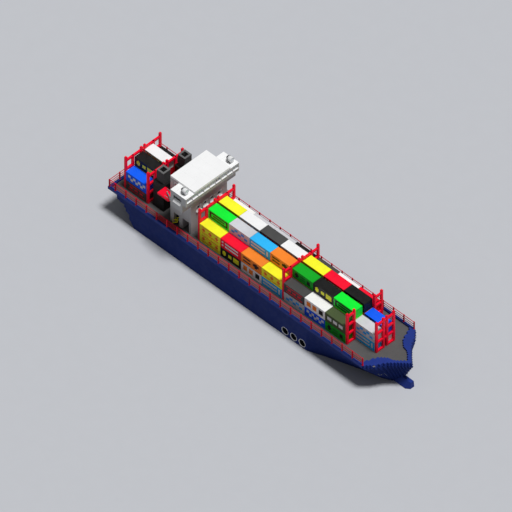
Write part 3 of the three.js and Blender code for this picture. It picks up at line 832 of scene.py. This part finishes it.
def funnel_fittings():
    """Three exhaust pipes, a pale rim round the mouth, and a ladder up the casing's aft face."""
    low, high = span("funnel_stack_starboard")
    cx, cy, _ = centre_of("funnel_stack_starboard")
    shape = Shape()
    for dx, dy, radius in ((-0.3, 0.28, 0.24), (0.3, 0.28, 0.24), (0, -0.3, 0.3)):
        top = high.z - 0.25
        pipe = [(0, radius), (1.0, radius), (1.0, radius - 0.05), (0.6, radius - 0.06)]
        shape.turned((cx + dx, cy + dy, top - 1.0), (0, 0, 1), pipe, 0, 20)
    half, wall, top = (high.x - low.x) / 2 + 0.02, 0.42, (high.z - 0.06, high.z + 0.03)
    for side in (-1, 1):
        strip = sorted((side * half, side * (half - wall)))
        shape.box([cx + v for v in strip], about(cy, half), top, 3)
        shape.box((cx - half + wall, cx + half - wall), [cy + v for v in strip], top, 3)
    casing_low, casing_high = span("funnel_casing_starboard")
    x = casing_low.x - 0.1
    for i in range(22):
        z = casing_low.z + 0.4 + i * 0.31
        shape.rod((x, cy - 0.22, z), (x, cy + 0.22, z), 0.025, 1, 6)
    for y in about(cy, 0.22):
        shape.rod((x, y, casing_low.z + 0.1), (x, y, casing_high.z + 0.3), 0.03, 1, 8)
    return shape


# ---- lifeboats and davits --------------------------------
# Height, then shares of the half width and the half length.
BOAT_SECTIONS = [
    (0.0, 0.22, 0.62), (0.12, 0.48, 0.8), (0.3, 0.7, 0.9), (0.52, 0.9, 0.97),
    (0.65, 0.985, 0.99), (0.68, 1.0, 1.0), (1.12, 1.0, 1.0), (1.15, 0.985, 0.995),
]
BOAT_OUTLINE = [(-1, 1), (0.78, 1), (0.93, 0.82), (1, 0.5)]


def lifeboat():
    low, high = span("lifeboat_starboard")
    top = high.z - 0.2
    cx, cy, _ = centre_of("lifeboat_starboard")
    half_length, half_width = (high.x - low.x) / 2, (high.y - low.y) / 2
    shape = Shape()
    rings = []
    for height, wide, long in BOAT_SECTIONS:
        z, w, reach = low.z + height, half_width * wide, half_length * long
        right = [(cx + reach * along_it, w * out) for along_it, out in BOAT_OUTLINE]
        ring = [(x, cy - y, z) for x, y in right]
        rings.append(ring + [(x, cy + y, z) for x, y in reversed(right)])
    shape.rings(rings)
    swivel = [(0, 0.2), (0.06, 0.2), (0.08, 0.12), (0.2, 0.12)]
    shape.turned((cx, cy, top - 0.02), (0, 0, 1), swivel, 1, 16)
    x1 = cx + 1.2
    for y, x0 in ((cy + half_width * 0.74, cx - 0.95), (cy - half_width * 0.74, cx + 0.2)):
        shape.rod((x0, y, top + 0.13), (x1, y, top + 0.13), 0.07, 1, 8)
        for x in (x0, (x0 + x1) / 2, x1):
            shape.rod((x, y, top - 0.02), (x, y, top + 0.13), 0.05, 1, 8)
    shape.box(about(cx, half_length * 0.6), about(cy, 0.04), (low.z, low.z + 0.12), 2)
    fender_x = (cx - half_length * 0.97, cx + half_length * 0.74)
    for s in (-1, 1):
        fender_y = sorted((cy + s * half_width, cy + s * (half_width - 0.02)))
        shape.box(fender_x, fender_y, (top - 0.36, top - 0.28), 2)
    return shape


DAVIT_PIVOT = (18.0, -7.45)
DAVIT_EYE = [(-0.15, 0.12), (-0.15, 0.19), (-0.12, 0.2), (0.12, 0.2), (0.15, 0.19), (0.15, 0.12)]


def davit():
    """A tapering arm from its pivot on the house to the hook over the boat, with a roller on it."""
    pivot = Vector((*DAVIT_PIVOT, centre_of("davit_starboard")[2]))
    hook = Vector((*centre_of("lifeboat_starboard")[:2], pivot.z))
    reach = hook - pivot
    shape = Shape()
    shape.turned(pivot, (0, 0, 1), DAVIT_EYE, 0, 24)
    direction = reach.normalized()
    side = Vector((-direction.y, direction.x, 0))
    up = Vector((0, 0, 1))
    taper = [(0.14, 0.12, 0.14), (0.5, 0.11, 0.14)]
    taper += [(reach.length, 0.08, 0.1), (reach.length + 0.12, 0.06, 0.08)]
    rings = []
    for distance, wide, tall in taper:
        middle = pivot + direction * distance
        rings.append([middle + side * a * wide + up * b * tall for a, b in SQUARE])
    shape.rings(rings)
    shape.turned(hook + Vector((0, 0, -0.14)), (0, 0, 1), [(0, 0.13), (0.28, 0.13)], 0, 16)
    roller = hook - direction * 0.7 + up * 0.02
    shape.rod(roller - side * 0.12, roller + side * 0.12, 0.09, 0, 14)
    return shape


# ---- lashing frames --------------------------------------
FRAME_POST = 0.5
FRAME_BARS = (6.75, 9.25, 11.75, 14.25)
TOP_BAR = FRAME_BARS[-1:]


def frame_post(shape, x, y, foot, top):
    half = FRAME_POST / 2
    rings = []
    for z, scale in ((foot, 1), (top - 0.12, 1), (top, 0.76)):
        rings.append([(x + a * half * scale, y + b * half * scale, z) for a, b in SQUARE])
    shape.rings(rings)


def frame_bar(shape, x, y, z):
    half = 0.23
    shape.box(about(x, half), y, about(z, half))
    for end, inward in ((y[0], 1), (y[1], -1)):
        plate = sorted((end + inward * 0.25, end + inward * 0.32))
        shape.box((x - half - 0.02, x + half + 0.02), plate, (z - half - 0.02, z + half + 0.02))


def lashing_frame(node, posts, bars):
    low, _ = span(node)
    x = centre_of(node)[0]
    shape = Shape()
    for y, top in posts:
        frame_post(shape, x, y, low.z, top)
    for y0, y1, heights in bars:
        for z in heights:
            frame_bar(shape, x, (y0, y1), z)
    shape.make(node + "_welded", [RED], replaces=(node,), slot="signal_red", bevel=0.025)


def lashing_frames():
    posts = [(-5, 15.4), (-3, 14.48), (-0.5, 15.2), (0.5, 15.2), (3, 14.48), (5, 15.4)]
    bars = [(-5, -3, FRAME_BARS), (3, 5, FRAME_BARS)]
    bars += [(-3, -0.5, TOP_BAR), (-0.5, 0.5, TOP_BAR), (0.5, 3, TOP_BAR)]
    for name in ("stern", "funnel", "house", "middle"):
        lashing_frame("lashing_frame_" + name, posts, bars)
    lashing_frame("lashing_ladder_starboard", [(-5, 15.2), (-3, 15.2)], [(-5, -3, FRAME_BARS)])
    lashing_frame("lashing_ladder_port", [(5, 15.2), (3, 15.2)], [(3, 5, FRAME_BARS)])
    posts = [(y, 15.1) for y in (-2.5, -0.5, 0.5, 2.5)]
    bars = [(-2.5, -0.5, FRAME_BARS), (-0.5, 0.5, (9.25, 14.25)), (0.5, 2.5, FRAME_BARS)]
    lashing_frame("lashing_frame_bow", posts, bars)


# ---- containers ------------------------------------------
CARGO_COLOURS = {
    "yellow": ("yellow", "fffe2b"),
    "red": ("red", "ff002f"),
    "orange": ("orange", "ff8c2b"),
    "white": ("white", "f6f6f6", 0.03),
    "pale": ("pale grey", "d5d6db"),
    "green": ("green", "00f937"),
    "dark_green": ("dark green", "00ae20"),
    "blue": ("blue", "0062ff"),
    "light_blue": ("light blue", "2dbeff"),
    "olive": ("olive", "4c5a38"),
    "dark_grey": ("dark grey", "4c4c4c"),
    "black": ("black", "161616", 0.2),
    "amber": ("mark orange", "ff6e28"),
    "ink": ("ink blue", "2dafff"),
    "grey": ("mark grey", "e6e6e6"),
}


def container_paint(name, code, worn=0.1):
    return paint("container " + name, code, rough=0.45, worn=worn)


CARGO_PAINTS = {key: container_paint(*colour) for key, colour in CARGO_COLOURS.items()}
CARGO_NAMES = list(CARGO_PAINTS) + ["fitting", "hole"]
CARGO_MATERIALS = list(CARGO_PAINTS.values()) + [STEEL, RUBBER_AND_HOLE_SHADE]

def blocks(colour, wide, columns, row, rows):
    return [(colour, column, row, wide, rows) for column in columns]


def checks(colour, wide, starts):
    """Touching blocks from the second column on, each from its own row."""
    return [(colour, 2 + wide * i, row, wide, 3) for i, row in enumerate(starts)]


# A livery is a ground, then marks as (paint, column, row, columns, rows) on a side 24 by 10.
LIVERIES = {
    "yellow": (
        blocks("amber", 2, (3, 11, 19), 6, 1) + blocks("amber", 4, (2, 10, 18), 4, 2)
        + blocks("amber", 2, (3, 11, 19), 3, 1) + [("amber", 2, 1, 20, 1), ("amber", 2, 8, 20, 1)]
    ),
    "red": [
        ("grey", 1, 6, 2, 2), ("grey", 1, 2, 2, 2), ("grey", 5, 6, 16, 2), ("grey", 5, 2, 16, 2),
    ],
    "orange": [
        ("black", 2, 2, 9, 2), ("black", 2, 6, 9, 2),
        ("black", 16, 7, 3, 1), ("black", 14, 4, 7, 3), ("black", 16, 2, 3, 2),
    ],
    "white": blocks("orange", 5, (2, 9), 2, 6) + [("black", 17, 2, 5, 6)],
    "light_blue": [("grey", 1, 6, 17, 2), ("grey", 1, 2, 17, 2), ("grey", 20, 2, 2, 6)],
    "pale": checks("ink", 4, (2, 5, 2, 5, 2)),
    "green": [("black", 1, 1, 22, 8), ("green", 3, 3, 18, 4), ("black", 5, 4, 14, 2)],
    "dark_green": [
        ("black", 3, 6, 3, 2), ("black", 2, 4, 5, 2), ("black", 3, 2, 3, 2),
        ("black", 9, 6, 6, 1), ("black", 9, 3, 6, 1), ("black", 17, 2, 4, 5),
    ],
    "black": blocks("yellow", 4, (2, 9), 3, 4) + [("yellow", 3, 2, 2, 6), ("yellow", 15, 2, 7, 6)],
    "dark_grey": (
        [("red", 2, 1, 20, 1), ("red", 2, 8, 20, 1)] + blocks("red", 4, (4, 10, 16), 4, 2)
    ),
    "blue": checks("grey", 3, (5, 2, 5, 2, 5, 2, 5)),
    "olive": blocks("grey", 5, (2, 9, 16), 3, 4),
}
# The stow, row by row: the top tier first, each tier from aft forward.
STOW = {
    "boxes_stern_row_a": ["blue", "dark_grey"],
    "boxes_stern_row_b": ["black", "yellow", "pale"],
    "boxes_stern_row_c": ["white", "red", "green"],
    "boxes_stern_row_d": ["black", "orange"],
    "boxes_midship_row_a": ["yellow red orange yellow", "yellow black white light_blue"],
    "boxes_midship_row_b": [
        "green pale light_blue orange", "white blue red black", "olive yellow pale green",
    ],
    "boxes_midship_row_c": [
        "yellow white dark_grey white", "red green blue orange", "pale black yellow blue",
    ],
    "boxes_midship_row_d": ["white pale pale black", "orange light_blue dark_green red"],
    "boxes_forward_row_a": ["dark_grey white olive", "pale blue dark_green"],
    "boxes_forward_row_b": ["dark_green black green", "orange pale yellow", "blue red white"],
    "boxes_forward_row_c": ["yellow red black", "white light_blue orange", "green dark_grey pale"],
    "boxes_forward_row_d": ["dark_grey white red", "yellow blue green"],
    "boxes_bow_row_b": ["pale", "light_blue"],
    "boxes_bow_row_c": ["blue", "white"],
}
BOX_LENGTH, BOX_WIDTH, BOX_HEIGHT = 6.0, 2.5, 2.5
BOX_GAP = 0.03
COLUMNS, END_COLUMNS, ROWS = 24, 9, 10
SHEET_INSET = 0.012
# One corrugation: from, to, and whether each end of the stretch lies deep (1) or not (0).
CORRUGATION = ((0.0, 0.36, 0, 0), (0.36, 0.5, 0, 1), (0.5, 0.86, 1, 1), (0.86, 1.0, 1, 0))
CORRUGATION_DEPTH, ROOF_DEPTH = 0.036, 0.018


def mark_at(livery, column, row):
    """The paint of one cell of a container's side: the last mark that covers it, or the ground."""
    for colour, x, y, wide, tall in reversed(LIVERIES[livery]):
        if x <= column < x + wide and y <= row < y + tall:
            return colour
    return livery


def corrugated(shape, origin, across, up, inward, columns, colour_at):
    """A corrugated sheet of columns by ROWS cells, one corrugation a column, painted by cell."""
    origin, across, up, inward = Vector(origin), Vector(across), Vector(up), Vector(inward)
    for column in range(columns):
        row = 0
        while row < ROWS:
            colour = colour_at(column, row)
            end = row + 1
            while end < ROWS and colour_at(column, end) == colour:
                end += 1
            for a, b, depth_a, depth_b in CORRUGATION:
                foot = origin + up * (row / ROWS)
                head = origin + up * (end / ROWS)
                near = across * ((column + a) / columns) + inward * (depth_a * CORRUGATION_DEPTH)
                far = across * ((column + b) / columns) + inward * (depth_b * CORRUGATION_DEPTH)
                corners = [foot + near, foot + far, head + far, head + near]
                shape.face(corners, CARGO_NAMES.index(colour))
            row = end


def container(shape, x, y, z, livery):
    """One 20-foot container in its slot, which starts at x and z and is centred on y."""
    ground = CARGO_NAMES.index(livery)
    fitting, hole = CARGO_NAMES.index("fitting"), CARGO_NAMES.index("hole")
    x0, x1 = x + BOX_GAP, x + BOX_LENGTH - BOX_GAP
    y0, y1 = y - BOX_WIDTH / 2 + BOX_GAP, y + BOX_WIDTH / 2 - BOX_GAP
    z0, z1 = z + BOX_GAP, z + BOX_HEIGHT - BOX_GAP
    post, rail, sill = 0.14, 0.1, 0.14
    for px in ((x0, x0 + post), (x1 - post, x1)):
        for py in ((y0, y0 + post), (y1 - post, y1)):
            shape.box(px, py, (z0, z1), ground)
        shape.box(px, (y0 + post, y1 - post), (z1 - rail, z1), ground)
        shape.box(px, (y0 + post, y1 - post), (z0, z0 + sill), ground)
    for py in ((y0, y0 + rail), (y1 - rail, y1)):
        shape.box((x0 + post, x1 - post), py, (z1 - rail, z1), ground)
        shape.box((x0 + post, x1 - post), py, (z0, z0 + sill), ground)
    foot = z0 + sill
    tall = (0, 0, z1 - rail - z0 - sill)
    long = x1 - x0 - 2 * post
    corrugated(
        shape, (x0 + post, y0 + SHEET_INSET, foot), (long, 0, 0), tall, (0, 1, 0), COLUMNS,
        lambda column, row: mark_at(livery, column, row),
    )
    corrugated(
        shape, (x1 - post, y1 - SHEET_INSET, foot), (-long, 0, 0), tall, (0, -1, 0), COLUMNS,
        lambda column, row: mark_at(livery, COLUMNS - 1 - column, row),
    )
    wide = y1 - y0 - 2 * post
    corrugated(
        shape, (x1 - SHEET_INSET, y0 + post, foot), (0, wide, 0), tall, (-1, 0, 0), END_COLUMNS,
        lambda column, row: livery,
    )
    roof(shape, (x0 + post, x1 - post), (y0 + rail, y1 - rail), z1 - SHEET_INSET, ground)
    z = z0 + 0.1
    shape.face([(x0, y0, z), (x0, y1, z), (x1, y1, z), (x1, y0, z)], ground)
    doors(shape, x0, (y0 + post, y1 - post), (z0 + sill, z1 - rail), ground, fitting, hole)
    castings(shape, (x0, x1), (y0, y1), (z0, z1), ground, hole)


def roof(shape, x, y, z, ground):
    """The roof sheet, with shallow pressed ribs from side to side."""
    step = (x[1] - x[0]) / COLUMNS
    for i in range(COLUMNS):
        for a, b, low_a, low_b in CORRUGATION:
            xa, xb = x[0] + (i + a) * step, x[0] + (i + b) * step
            za, zb = z - low_a * ROOF_DEPTH, z - low_b * ROOF_DEPTH
            shape.face([(xa, y[0], za), (xb, y[0], zb), (xb, y[1], zb), (xa, y[1], za)], ground)


def doors(shape, x, y, z, ground, fitting, hole):
    """Two door leaves in the aft end, with a gasket, lock rods, handles and hinges."""
    (y0, y1), (z0, z1) = y, z
    x = x + 0.05
    middle = (y0 + y1) / 2
    shape.face([(x, y1, z0), (x, y0, z0), (x, y0, z1), (x, y1, z1)], hole)
    for leaf in ((y0 + 0.02, middle - 0.012), (middle + 0.012, y1 - 0.02)):
        for i in range(4):
            step = (z1 - z0 - 0.04) / 4
            foot = z0 + 0.02 + i * step
            shape.box((x - 0.02, x + 0.01), leaf, (foot, foot + step * 0.72), ground)
            shape.box((x - 0.008, x + 0.01), leaf, (foot + step * 0.72, foot + step), ground)
        for share in (0.28, 0.76):
            rod_y = leaf[0] + (leaf[1] - leaf[0]) * share
            shape.rod((x - 0.035, rod_y, z0), (x - 0.035, rod_y, z1), 0.02, fitting, 6)
            shape.box((x - 0.05, x - 0.03), (rod_y, rod_y + 0.3), (z0 + 0.8, z0 + 0.84), fitting)
    for edge in y:
        for i in range(4):
            foot = z0 + 0.2 + i * (z1 - z0 - 0.5) / 3
            shape.box((x - 0.04, x), about(edge, 0.05), (foot, foot + 0.12), fitting)


def castings(shape, x, y, z, ground, hole):
    """The corner castings, each with a dark slot on its side and on its end: painted shade in place
    of the castings' holes.
    """
    for i, sx in ((0, 1), (1, -1)):
        for j, sy in ((0, 1), (1, -1)):
            for k, sz in ((0, 1), (1, -1)):
                px = sorted((x[i] - sx * 0.004, x[i] + sx * 0.178))
                py = sorted((y[j] - sy * 0.004, y[j] + sy * 0.162))
                pz = sorted((z[k] - sz * 0.002, z[k] + sz * 0.118))
                shape.box(px, py, pz, ground)
                slot_z = about(sum(pz) / 2, 0.025)
                side = y[j] - sy * 0.005
                side_y = sorted((side, side + sy * 0.01))
                shape.box(about(sum(px) / 2, 0.04), side_y, slot_z, hole)
                end = x[i] - sx * 0.005
                end_x = sorted((end, end + sx * 0.01))
                shape.box(end_x, about(sum(py) / 2, 0.03), slot_z, hole)


def containers():
    for node, tiers in STOW.items():
        low, high = span(node)
        y = centre_of(node)[1]
        start = low.x - BOX_GAP
        floor_z = high.z + BOX_GAP - BOX_HEIGHT * len(tiers)
        shape = Shape()
        for level, names in enumerate(reversed(tiers)):
            for bay, livery in enumerate(names.split()):
                container(shape, start + bay * BOX_LENGTH, y, floor_z + level * BOX_HEIGHT, livery)
        slot = next(s["material_slot"] for s in frame["record"]["subparts"] if s["node"] == node)
        name = node.replace("boxes", "containers")
        shape.make(name, CARGO_MATERIALS, replaces=(node,), slot=slot)


# ---- propulsion and steering -----------------------------
def blade_screw(
    shape, centre, axis, radius, hub_radius, hub_length, blades, pitch, chord_share=0.8
):
    """A screw with cambered, twisted blades; pitch is the advance in one turn."""
    centre, axis = Vector(centre), Vector(axis).normalized()
    half = hub_length / 2
    hub = [(-half, hub_radius * 0.5), (-half * 0.8, hub_radius * 0.9), (-half * 0.3, hub_radius)]
    hub += [(half * 0.9, hub_radius), (half, hub_radius * 0.9)]
    shape.turned(centre, axis, hub, 0, 28)
    spoke = axis.orthogonal().normalized()
    stations, chordwise = 9, 8
    for turn in circle(blades):
        rings = []
        for s in range(stations):
            share = s / (stations - 1)
            r = hub_radius * 0.8 + (radius - hub_radius * 0.8) * share
            fullness = sin(pi * min(share * 0.9 + 0.12, 1)) ** 0.8
            chord = radius * (0.3 + 0.62 * fullness) * chord_share
            if s == stations - 1:
                chord *= 0.35
            slope = atan(pitch / (2 * pi * r))
            skew = 0.32 * share * share
            ring = []
            for c in range(2 * chordwise):
                face = 1 if c < chordwise else -1
                t = c / (chordwise - 1) if face > 0 else (2 * chordwise - 1 - c) / (chordwise - 1)
                thick = radius * 0.035 * (1.15 - share) * sin(pi * t) * face
                offset = (t - 0.5) * chord
                around = offset * cos(slope) / r + skew + turn
                forward = offset * sin(slope) + thick
                direction = Matrix.Rotation(around, 3, axis) @ spoke
                ring.append(centre + direction * r + axis * forward)
            rings.append(ring)
        shape.rings(rings)


def propeller():
    shape = Shape()
    blade_screw(shape, centre_of("propeller_starboard"), (-1, 0, 0), 1.58, 0.36, 0.78, 4, 2.4)
    return shape


STOCK_X, RUDDER_HALF, RUDDER_TOP = 3.0, 0.19, 4.85


def rudder():
    low, high = span("rudder_starboard")
    y = centre_of("rudder_starboard")[1]
    shape = Shape()
    rings = []
    for z, shrink in ((low.z, 0.97), (low.z + 0.08, 1), (4.77, 1), (RUDDER_TOP, 0.97)):
        ring = []
        for a in circle(28):
            t = (1 - cos(a)) / 2
            half = RUDDER_HALF * (2.0 * sqrt(t) * (1 - t) * 1.3)
            out = copysign(half, sin(a)) * shrink
            ring.append((high.x - (high.x - low.x) * t, y + out, z))
        rings.append(ring)
    shape.rings(rings)
    shape.rod((STOCK_X, y, 4.5), (STOCK_X, y, high.z), RUDDER_HALF, 1, 24)
    return shape


def thruster_rotor(place):
    centre = centre_of("thruster_rotor_" + place + "_starboard")
    shape = Shape()
    blade_screw(shape, centre, (0, -1, 0), 0.8, 0.2, 0.48, 4, 1.5, 0.55)
    return shape


def propulsion():
    moving(propeller, "propeller", "propeller_blades_{}", [BRONZE], "screw_bronze")
    moving(rudder, "rudder", "rudder_blade_{}", [HULL, STEEL], "hull_blue")
    for place in ("aft", "middle", "front"):
        name = "thruster_rotor_" + place
        build = partial(thruster_rotor, place)
        # The rotors' near-white steel is painted light for the shaded tunnels.
        moving(build, name, name + "_blades_{}", [STEEL_BRIGHTENED], "thruster_steel")
        dress("thruster_pod_" + place, STEEL, bevel=0.02)
    for side in SIDES:
        dress("propeller_shaft_" + side, STEEL_BRIGHTENED, bevel=0.01)


# ---- the scene -------------------------------------------
camera()
lights()
floor()
hull()
deck_and_bulwark()
rails()
house()
stairs()
lamp_paints = [STEEL, LAMP_WHITE, LENS, BLACK]
moving(searchlight, "searchlight", "searchlight_drum_{}", lamp_paints, "funnel_grey")
funnels()
moving(lifeboat, "lifeboat", "lifeboat_hull_{}", [RED, STEEL, RUBBER_AND_HOLE_SHADE], "signal_red")
moving(davit, "davit", "davit_arm_{}", [STEEL], "bare_steel", bevel=0.02)
lashing_frames()
containers()
propulsion()
